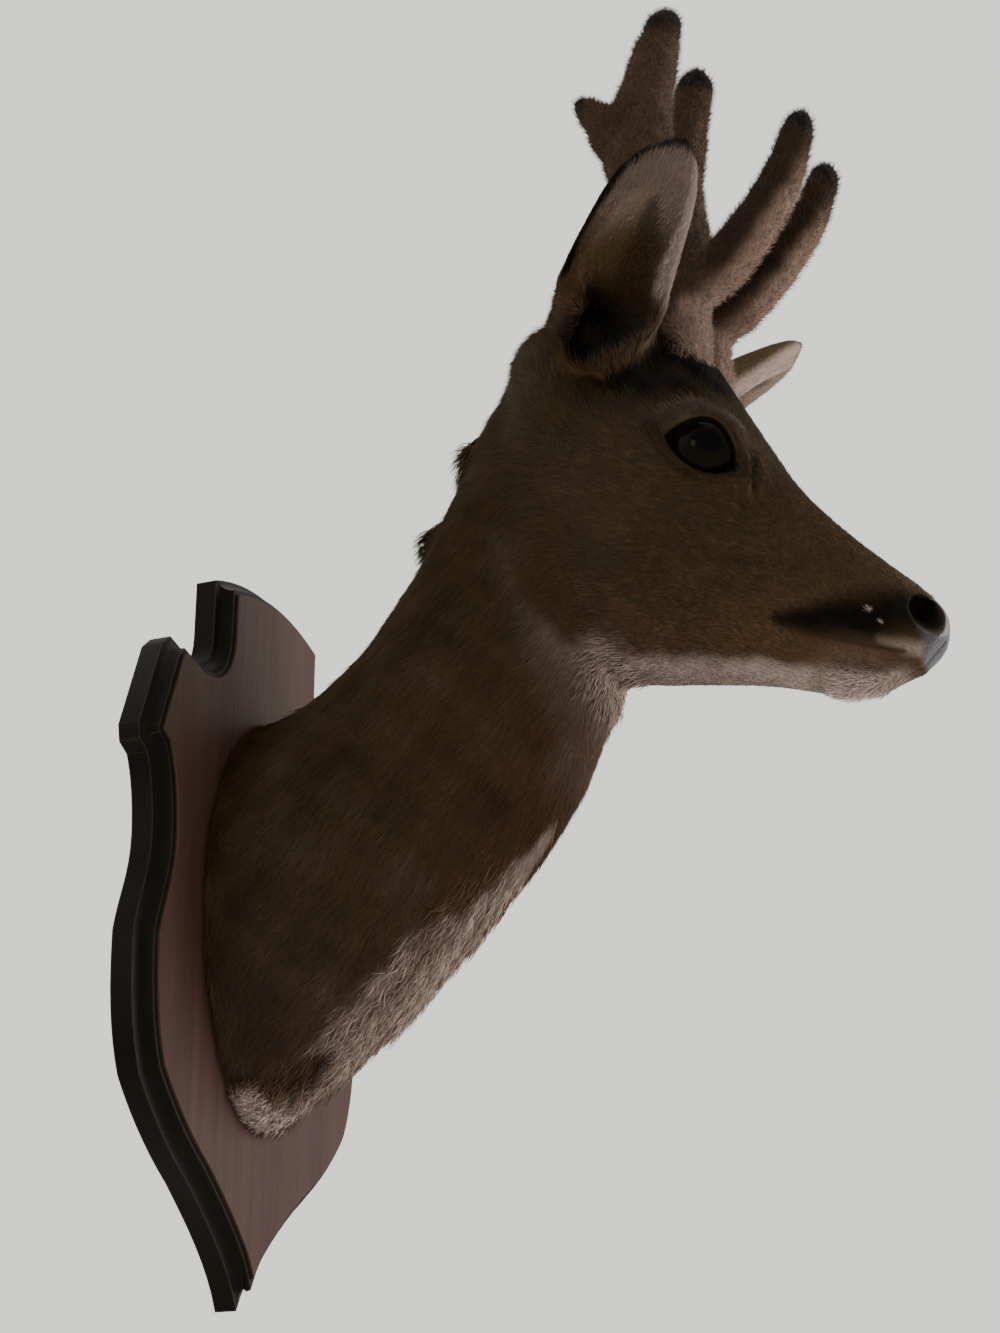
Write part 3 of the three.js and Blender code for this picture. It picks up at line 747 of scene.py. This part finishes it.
points, normals = pointsOf(skin.data), normalsOf(skin.data)
inward = -normals
inward[:, 1] *= smoothStep(-0.0185, -0.03, points[:, 1])  # the cut end stays flat on the board
depth = coatDepth(points)
points += inward * depth[:, None] + normals * relief(points)[:, None]
head = toHead(points)
nostril = blob(head, (0.0122, 0.0052, 0.0006), (0.006, 0.008, 0.007), 0.45)
inNose = unit(-0.45 * np.array((1, 0, 0)) + 0.9 * backward - 0.1 * upward)
points += (nostril * pelt["nostrilDepth"])[:, None] * inNose * sidesOf(points)
skinTree = treeOf(skin.data, points)

# the skin sinks behind the lids
share, height = toLid(points)
over = (height > 0.003) & (share < 1.6) & (head[:, 1] > 0.08)
least = pelt["lidSink"]
sink = np.where(share < 1.12, np.maximum(height - ballHeight(points) + pelt["ballGap"], least), least) * over
sink *= smoothStep(1.6, 1.42, share)
points -= sink[:, None] * eyeOut * sidesOf(points)
movePoints(skin.data, points)
print("skin has", sum(len(face.vertices) - 2 for face in skin.data.polygons), "triangles")

lids = {"shares": (0.8, 0.965, 1.0, 1.04, 1.1, 1.19, 1.28, 1.38, 1.48, 1.6),
        "lift": (-0.003, 0.0001, 0.0008, 0.0016, 0.0019, 0.0017, 0.0014, 0.0008, 0.0003, -0.0006),
        "crease": 0.0009, "under": 0.0035}


def skinHeight(point):
    # height of the skin over the eye's middle, on the line through this point
    place = skinTree.ray_cast(Vector(point + eyeOut * 0.05), Vector(-eyeOut))[0]
    return (np.array(place or point) - eyeCentre) @ eyeOut


def lidPatch(sign):
    # rings around the opening, from under the eyeball's edge over the lid's rim and down into the skin
    rings = []
    for share, lift in zip(lids["shares"], lids["lift"]):
        flat = lidCentre + rim[:, :1] * share * lidLong + rim[:, 1:] * share * lidUp
        onSkin = np.array([skinHeight(point) for point in flat])
        rise = smoothStep(1.0, 1.45, share)
        height = blend(np.maximum(ballHeight(flat), onSkin - lids["under"]), onSkin, rise)
        crease = lids["crease"] * bell(share, 0.05, 1.26) * smoothStep(0.002, 0.01, rim[:, 1])
        flat += eyeOut * ((height + lift - crease) - (flat - eyeCentre) @ eyeOut)[:, None]
        rings.append(flat * (sign, 1, 1))
    return np.array(rings)


bm = bmesh.new()
bm.from_mesh(skin.data)
rimLayer = bm.verts.layers.float.new("rim")
for sign in (-1, 1):
    rings = lidPatch(sign)
    loops = [[bm.verts.new(point) for point in ring] for ring in rings]
    for share, loop in zip(lids["shares"], loops):
        for vert in loop:
            vert[rimLayer] = float(1 - smoothStep(1.05, 1.14, share))
    for inner, outer in zip(loops, loops[1:]):
        count = len(inner)
        for i in range(count):
            quad = (inner[i], outer[i], outer[(i + 1) % count], inner[(i + 1) % count])
            bm.faces.new(quad if sign > 0 else quad[::-1])
bm.to_mesh(skin.data)
bm.free()
skinRim = np.empty(len(skin.data.vertices), np.float32)
skin.data.attributes["rim"].data.foreach_get("value", skinRim)
points = pointsOf(skin.data)
head, isHead = toHead(points), headness(points)
marks = markings(points)
# painted shade: the inside of each nostril and the skin just behind it go dark
nostrilDark = largest(blob(head, (0.0118, 0.0062, 0.0004), (0.0084, 0.0114, 0.0092), 0.22),
                      blob(head, (0.0055, 0.0115, -0.001), (0.0055, 0.008, 0.007), 0.25))
mouthAway, _ = lineDistance(head[:, 1:], body["mouth"])
mouthDark = 0.55 * smoothStep(0.0018, 0.0004, mouthAway) * isHead * smoothStep(0.056, 0.046, head[:, 1])
marks[:, 1] = largest(marks[:, 1], skinRim, nostrilDark, mouthDark)
marks[:, 0] *= 1 - marks[:, 1]

# streaks run back over the head and down the neck
neckAxis = unit(np.array((0, 0.66, -0.75)))
neckOut = np.array((0, 0.75, 0.66))
layHead = np.stack((points[:, 0], head[:, 2], head[:, 1] * 0.12), 1)
layNeck = np.stack((points[:, 0], points @ neckOut, points @ neckAxis * 0.12), 1)
addAttribute(skin.data, "marks", marks)
addAttribute(skin.data, "leather", marks[:, 3] * (1 - nostrilDark))
addAttribute(skin.data, "lay", blend(layNeck, layHead, isHead[:, None]))
shadeSmooth(skin.data)
finishPiece(skin, skinMaterial(), "coat", *fleshNodes)
print("lids and markings are on the skin")


antlers = {"voxel": 0.0012, "depth": 0.0012, "knobs": 0.0007, "web": 0.003, "smoothing": 14,
           "fork": ((0.0245, -0.196, 0.346), (0.012, 0.01, 0.02)),
           "pieces": ("lower_beam", "front_tine", "upper_beam", "rear_tine"),
           "tine": [(0.017, -0.222, 0.262), (0.017, -0.243, 0.278), (0.018, -0.259, 0.295), (0.02, -0.273, 0.314),
                    (0.023, -0.286, 0.347)],
           "tineAhead": (0, -0.62, 0.78), "tineBelow": (0, -0.78, -0.62)}


def velvetMarks(points):
    # dark tips and spurs; pinker, paler velvet low on the forward, lower side of the beams and tines, partly its own
    # colour and partly painted light, and a darker back to the tines that is painted shade
    trunk = toBody(points)
    tips = largest(smoothStep(0.392, 0.408, points[:, 2]),
                   blob(trunk, (0.023, -0.287, 0.347), (0.018, 0.017, 0.021), 0.5),
                   blob(trunk, (0.033, -0.179, 0.376), (0.012, 0.0095, 0.012), 0.5))
    path = np.array(antlers["tine"])
    reached = trunk @ antlers["tineAhead"]
    middle = np.stack([np.interp(reached, path @ antlers["tineAhead"], path[:, i]) for i in range(3)], 1)
    ahead = (trunk - middle) @ antlers["tineBelow"] + 0.0015 * ripple(points, 260, 3)
    # painted light mixed with the velvet's own pink on the forward, lower side; painted shade on the rest of the tines
    pinkLitSide = smoothStep(0.335, 0.3, points[:, 2]) * smoothStep(0.003, 0.0095, ahead)
    tinesShadedSide = smoothStep(-0.232, -0.25, points[:, 1]) * (1 - pinkLitSide)
    pale = (0.02 + 0.16 * pinkLitSide + 0.04 * ripple(points, 120, 6)) * (1 - tips)
    dark = np.maximum(0.92 * tips, 0.42 * (1 - pinkLitSide) + 0.32 * tinesShadedSide)
    warm = 0.7 + 0.3 * pinkLitSide + 0.15 * ripple(points, 70, 9)
    return np.clip(np.stack((pale, dark, warm, np.zeros(len(points))), 1), 0, 1)


velvetSkin, tree = newMaterial("velvet skin")
fuzz = addNode(tree, "TexNoise", "Fac", Vector=addNode(tree, "TexCoord", "Object"), Scale=700.0, Detail=4.0)
colour = addNode(tree, "Group", node_tree=coatGroup, Marks=attribute(tree, "marks", "Color"), Shade=fuzz)
fillShader(velvetSkin, {"Base Color": colour, "Roughness": 0.85, "Specular IOR Level": 0.15,
                        "Normal": addBump(tree, fuzz, 0.6, 0.0006)})

antlerPieces = []
for side in ("right", "left"):
    names = [f"antler_{side}_{piece}" for piece in antlers["pieces"]]
    antler = fromBmesh("antler." + side, mergedCopy(names, pelt["grow"]))
    remesh(antler, antlers["voxel"])
    applyModifier(antler, "SMOOTH", factor=0.5, iterations=antlers["smoothing"])
    points, normals = pointsOf(antler.data), normalsOf(antler.data)
    web = antlers["web"] * blob(toBody(points), *antlers["fork"], 0.6)
    points += normals * (antlers["knobs"] * ripple(points, 320, 1) + web - antlers["depth"])[:, None]
    movePoints(antler.data, points)
    addAttribute(antler.data, "marks", velvetMarks(points))
    shadeSmooth(antler.data)
    antlerPieces.append(finishPiece(antler, velvetSkin, "velvet", *names))
print("antlers are made")


def flowAt(points, normals):
    # the way the hair lies: back over the head, down the neck and out along the ears
    head, trunk, sides = toHead(points), toBody(points), sidesOf(points)
    isHead, isEar = headness(points)[:, None], earness(points)[:, None]
    low = smoothStep(0.0, -0.07, head[:, 2])[:, None]
    onHead = backward - 0.55 * low * upward * (1 - low * 0.3)
    poll = (smoothStep(0.15, 0.195, head[:, 1]) * smoothStep(-0.04, 0.01, head[:, 2]))[:, None]
    onHead = blend(onHead, np.array((0, 0.85, -0.5)), poll)
    onNeck = neckAxis + np.stack((np.zeros(len(points)), 0.2 * ripple(points, 40, 1), 0.2 * ripple(points, 33, 2)), 1)
    flow = blend(onNeck, onHead, isHead)
    fromEye = head - np.array(body["eye"])
    aroundEye = bell(norm(fromEye, axis=1), 0.026)[:, None]
    flow = flow + aroundEye * 1.1 * unit(fromEye[:, 1:2] * backward + fromEye[:, 2:3] * upward)
    earRoot = blob(trunk, earFrame["base"], (0.026, 0.026, 0.03), 0.6)[:, None] * (1 - isEar)
    for share in (0.75 * earRoot, isEar):
        flow = blend(flow, earAhead * sides, share)
    curl = band(points, body["roll"], (0.01, 0.012, 0.01))[:, None]
    flow = blend(flow, np.array((-0.5, -0.15, -0.85)), curl) + 0.14 * waves(points, 140, 11)
    flow[:, 1] = np.where(flow[:, 1] > 0, flow[:, 1] * smoothStep(-0.021, -0.045, points[:, 1]), flow[:, 1])
    flow -= normals * (flow * normals).sum(1, keepdims=True)
    return unit(flow)


tufts = {"tries": 3, "sunk": (0.0006, 0.0004), "bow": (1.25, 0.35), "droop": 0.75, "clear": (0.35, 0.0003, 0.0012),
         "taper": (1, 0.85), "ridge": 0.45, "patch": 0.003, "boardFace": -0.0182, "boardGap": 0.0006}


def scatter(mesh, weight, count, thin):
    # roots on the mesh's faces, at most one in each little cube of side thin
    mesh.calc_loop_triangles()
    corners = np.empty(len(mesh.loop_triangles) * 3, np.int32)
    mesh.loop_triangles.foreach_get("vertices", corners)
    corners = corners.reshape(-1, 3)
    points, normals = pointsOf(mesh), normalsOf(mesh)
    a, b, c = (points[corners[:, i]] for i in range(3))
    area = norm(np.cross(b - a, c - a), axis=1) / 2
    chance = area * weight((a + b + c) / 3)
    picked = random.choice(len(corners), count * tufts["tries"], p=chance / chance.sum())
    s, t = np.sqrt(random.random(len(picked))), random.random(len(picked))
    shares = np.stack((1 - s, s * (1 - t), s * t), 1)[:, :, None]
    roots = (points[corners[picked]] * shares).sum(1)
    _, first = np.unique(np.floor(roots / thin).astype(int), axis=0, return_index=True)
    first = random.permutation(first)[:count]
    return roots[first], unit((normals[corners[picked[first]]] * shares[first]).sum(1))


def liftOver(tree, points, clear):
    # points that would dive under the surface in a hollow are raised over it
    for i, point in enumerate(points):
        place, normal, _, _ = tree.find_nearest(Vector(point))
        height = (Vector(point) - place).dot(normal)
        if height < clear[i]:
            points[i] = point + np.array(normal) * (clear[i] - height)


def buildTufts(name, tree, roots, normals, flow, shape, marks, patches, bends):
    # each tuft is a three-sided spike, bent once on the way where bends says so, with its base under the skin
    count = len(roots)
    yaw = random.normal(0, shape["wander"], count)[:, None]
    side = np.cross(normals, flow)
    ahead = unit(flow * np.cos(yaw) + side * np.sin(yaw))
    side = np.cross(normals, ahead)
    length = shape["length"] * random.uniform(0.7, 1.25, count)
    lift = np.clip(shape["lift"] * random.uniform(0.6, 1.4, count), 0, 1.3)[:, None]
    width = (shape["width"] * random.uniform(0.7, 1.3, count))[:, None]
    curl = (shape["curl"] * random.normal(0, 1, count))[:, None]
    reach = length[:, None]
    sunk = roots - normals * tufts["sunk"][0] - ahead * tufts["sunk"][1]
    rise, swerve = tufts["bow"]
    middle = roots + (ahead * np.cos(lift) + normals * np.sin(lift) * rise + side * curl * swerve) * reach * 0.5
    tip = roots + (ahead * np.cos(lift) + normals * np.sin(lift) * tufts["droop"] + side * curl) * reach
    share, least, most = tufts["clear"]
    clear = np.minimum(share * length * np.sin(lift[:, 0]) + least, most)
    liftOver(tree, tip, clear)
    if bends:
        liftOver(tree, middle, clear)
    rings = [sunk, middle] if bends else [sunk]
    rows, alongs = [], []
    for i, centre in enumerate(rings):
        wide = width * tufts["taper"][i]
        rows += [centre - side * wide / 2, centre + side * wide / 2, centre + normals * wide * tufts["ridge"]]
        alongs += [0.5 * i] * 3
    rows.append(tip)
    alongs.append(1.0)
    size = len(rows)
    verts = np.stack(rows, 1).reshape(-1, 3)
    verts[:, 1] = np.minimum(verts[:, 1], tufts["boardFace"])  # no hair goes into the board
    faces = [(0, 2, 1)]
    for i in range(len(rings) - 1):
        for a, b in ((0, 1), (1, 2), (2, 0)):
            low, high = 3 * i, 3 * i + 3
            faces += [(low + a, low + b, high + b), (low + a, high + b, high + a)]
    last = 3 * (len(rings) - 1)
    faces += [(last, last + 1, size - 1), (last + 1, last + 2, size - 1), (last + 2, last, size - 1)]
    faces = (np.array(faces) + size * np.arange(count)[:, None, None]).reshape(-1, 3)

    mesh = bpy.data.meshes.new(name)
    mesh.from_pydata(verts, [], faces, shade_flat=False)
    shadeSmooth(mesh)
    addAttribute(mesh, "marks", np.repeat(marks, size, 0))
    addAttribute(mesh, "along", np.tile(alongs, count))
    addAttribute(mesh, "shade", np.repeat(random.random(count), size))
    # a small patch of the bake map for each tuft, at its root's place on the skin's unwrap
    local = np.array([(j % 3 * 0.5 if j < size - 1 else 0.5, along) for j, along in enumerate(alongs)]) * tufts["patch"]
    places = (patches[:, None] + local[None]).reshape(-1, 2)
    layer = mesh.uv_layers.new(name="OFBake")
    layer.uv.foreach_set("vector", np.clip(places[faces.ravel()], 0, 1).astype(np.float32).ravel())
    return newObject(name, mesh)


def neckPlace(points):
    return (points - np.array(body["headCut"][0])) @ neckAxis


def unwrapBody(points):
    # angle around the neck or head and distance along it
    head, isHead = toHead(points), headness(points)
    middle = levelAt(body["keel"], head[:, 1]) * 0.5 + 0.004
    headTurn = np.arctan2(points[:, 0], head[:, 2] - middle)
    neckTurn = np.arctan2(points[:, 0], (points - np.array((0, -0.1, 0.08))) @ neckOut)
    turn = blend(neckTurn, headTurn, isHead) / (2 * math.pi) + 0.5
    along = blend(0.14 + neckPlace(points), head[:, 1], isHead)
    return np.stack((0.02 + 0.95 * turn, 0.03 + 0.93 * np.clip(along / 0.48, 0, 1)), 1)


def unwrapHalf(points, across, ahead, low, share):
    # the right and left copies side by side
    turn = np.arctan2(across, ahead) / (2 * math.pi) + 0.5
    return np.stack((0.01 + np.where(points[:, 0] > 0, 0.5, 0.0) + 0.48 * turn, low + share), 1)


def unwrapEar(points):
    along, across, depth = toEar(points).T
    return unwrapHalf(points, across, depth, 0.05, 0.85 * np.clip(along, 0, 1))


def unwrapAntler(points):
    x, y, z = toBody(points).T
    return unwrapHalf(points, x - 0.021, y + 0.215, 0.03, 0.93 * np.clip((z - 0.22) / 0.21, 0, 1))


def bareness(points):
    # where no hair grows: nose pad, lips' edge, the eye's opening and close to the board
    head, (share, height) = toHead(points), toLid(points)
    onEye = (share < 1.09) & (height > 0)
    mouthAway, _ = lineDistance(head[:, 1:], body["mouth"])
    lips = (mouthAway < 0.001) & (head[:, 1] < 0.05)
    atBoard = points[:, 1] > tufts["boardFace"] - tufts["boardGap"]
    return ((markings(points)[:, 3] > 0.4) | onEye | lips | atBoard).astype(float)


ruffle = {"upper": ((-0.012, -0.124, 0.211), (0.011, 0.01, 0.01), 0.5),
          "lower": ((-0.014, -0.105, 0.175), (0.011, 0.01, 0.01), 0.5)}


def lockZones(points, fullFrom, cornerReach):
    # the chest's fringe, the throat's corner, the two ruffled locks behind the neck and the chin
    trunk = toBody(points)
    throatAway, throatAlong = lineDistance(trunk, body["throat"])
    edge = smoothStep(0.03, 0.012, throatAway) * smoothStep(0.35, fullFrom, throatAlong) * (1 - headness(points))
    corner = blob(trunk, body["throatCorner"], cornerReach)
    clumps = largest(*(blob(points, *lock) for lock in ruffle.values()))
    return edge, corner, clumps, blob(toHead(points), (0, 0.01, -0.04), (0.016, 0.016, 0.012))


def lockPlaces(points):
    # where longer locks break the outline: chest edge, throat corner, nape and chin
    edge, corner, clumps, chin = lockZones(points, 0.6, (0.024, 0.012, 0.016))
    roll = band(points, body["roll"], (0.008, 0.01, 0.008))
    napeAway, _ = lineDistance(toBody(points), body["nape"])
    nape = smoothStep(0.026, 0.01, napeAway) * (1 - headness(points))
    return 0.7 * edge + 3.5 * roll + 0.6 * corner + 0.4 * nape + 3.5 * clumps + 1.3 * chin


def headPart(low, high):
    return lambda p: headness(p) * (1 - earness(p)) * (toHead(p)[:, 1] >= low) * (toHead(p)[:, 1] < high)


def neckPart(low, high):
    return lambda p: (1 - headness(p)) * (1 - earness(p)) * (neckPlace(p) >= low) * (neckPlace(p) < high)


partings = {"crown": 0.118, "lowerNeck": 0.072, "shoulder": 0.146}
coats = {  # the number of tufts, their least spacing and where they grow
    "coat.face": (46000, 0.0005, headPart(-1, partings["crown"])),
    "coat.crown": (46000, 0.0006, headPart(partings["crown"], 1)),
    "coat.ears": (46000, 0.0006, earness),
    "coat.neck.upper": (46000, 0.0006, neckPart(-1, partings["lowerNeck"])),
    "coat.neck.lower": (46000, 0.0006, neckPart(partings["lowerNeck"], partings["shoulder"])),
    "coat.shoulder": (46000, 0.0006, neckPart(partings["shoulder"], 1)),
    "coat.locks": (14000, 0.0006, lockPlaces),
}
tangle = {"scale": 430, "amount": 0.22}


def coatShape(points, isLocks):
    head, ear = toHead(points), toEar(points)
    isHead, isEar = headness(points), earness(points)
    faceLength = np.interp(head[:, 1], (0.01, 0.05, 0.12, 0.2), (0.0022, 0.0036, 0.006, 0.009))
    earHair = 0.0036 + 0.0018 * smoothStep(-0.002, 0.008, ear[:, 2])
    length = blend(blend(0.011, faceLength, isHead), earHair, isEar)
    faceLift = 0.14 + 0.14 * blob(head, (0, 0.07, 0.012), (0.022, 0.055, 0.02))
    lift = blend(blend(0.2, faceLift, isHead), 0.15, isEar)
    curl, thinner = np.full(len(points), 0.08), 1
    if isLocks:
        edge, corner, clumps, chin = lockZones(points, 0.7, (0.024, 0.014, 0.018))
        roll = band(points, body["roll"], (0.01, 0.012, 0.01))
        length = length + 0.001 * edge - 0.003 * roll + 0.002 * corner + 0.0055 * clumps + 0.004 * chin
        lift = lift + 0.16 * edge + 0.35 * roll + 0.25 * corner + 0.55 * clumps + 0.3 * chin
        curl, thinner = curl + 0.15 * edge + 0.15 * roll, 1 - 0.35 * chin
    width = np.interp(length, (0.002, 0.005, 0.012), (0.00045, 0.00065, 0.00075)) * thinner
    return {"length": length, "lift": lift, "width": width, "curl": curl, "wander": 0.15}


furCoat = coatMaterial("coat hair", 0.65, 0.03)
coatTree = treeOf(skin.data, pointsOf(skin.data))
for name, (count, thin, where) in coats.items():
    isLocks, isEarCoat = name == "coat.locks", name == "coat.ears"
    roots, normals = scatter(skin.data, lambda p: where(p) * (1 - bareness(p)) + 1e-12, count, thin)
    marks, flow = markings(roots), flowAt(roots, normals)
    if isLocks:
        marks[:, 1] = np.maximum(marks[:, 1], 0.6 * blob(roots, *ruffle["lower"]))
        calm = 1 - band(roots, body["roll"], (0.008, 0.01, 0.008))[:, None]
        flow = unit(flow + tangle["amount"] * calm * waves(roots, tangle["scale"], 21))
    patches = unwrapEar(roots) if isEarCoat else unwrapBody(roots)
    piece = buildTufts(name, coatTree, roots, normals, flow, coatShape(roots, isLocks), marks, patches, isLocks)
    finishPiece(piece, furCoat, "ear_coat" if isEarCoat else "coat")
    print(name, "has", len(piece.data.polygons), "faces")

velvet = {"count": 22000, "thin": 0.0005, "from": 0.2275, "length": 0.0041, "lift": 0.75, "width": 0.0004, "curl": 0.2,
          "wander": 0.5}
velvetCoat = coatMaterial("velvet hair", 0.75, 0.08)
for antler, side in zip(antlerPieces, ("right", "left")):
    roots, normals = scatter(antler.data, lambda p: (p[:, 2] > velvet["from"]) + 1e-12, velvet["count"], velvet["thin"])
    flow = unit(np.array((0, 0, 1.0)) - normals * normals[:, 2:] + 1e-6)
    piece = buildTufts("velvet." + side, treeOf(antler.data, pointsOf(antler.data)), roots, normals, flow, velvet,
                       velvetMarks(roots), unwrapAntler(roots), False)
    finishPiece(piece, velvetCoat, "velvet")
print("coat is on")
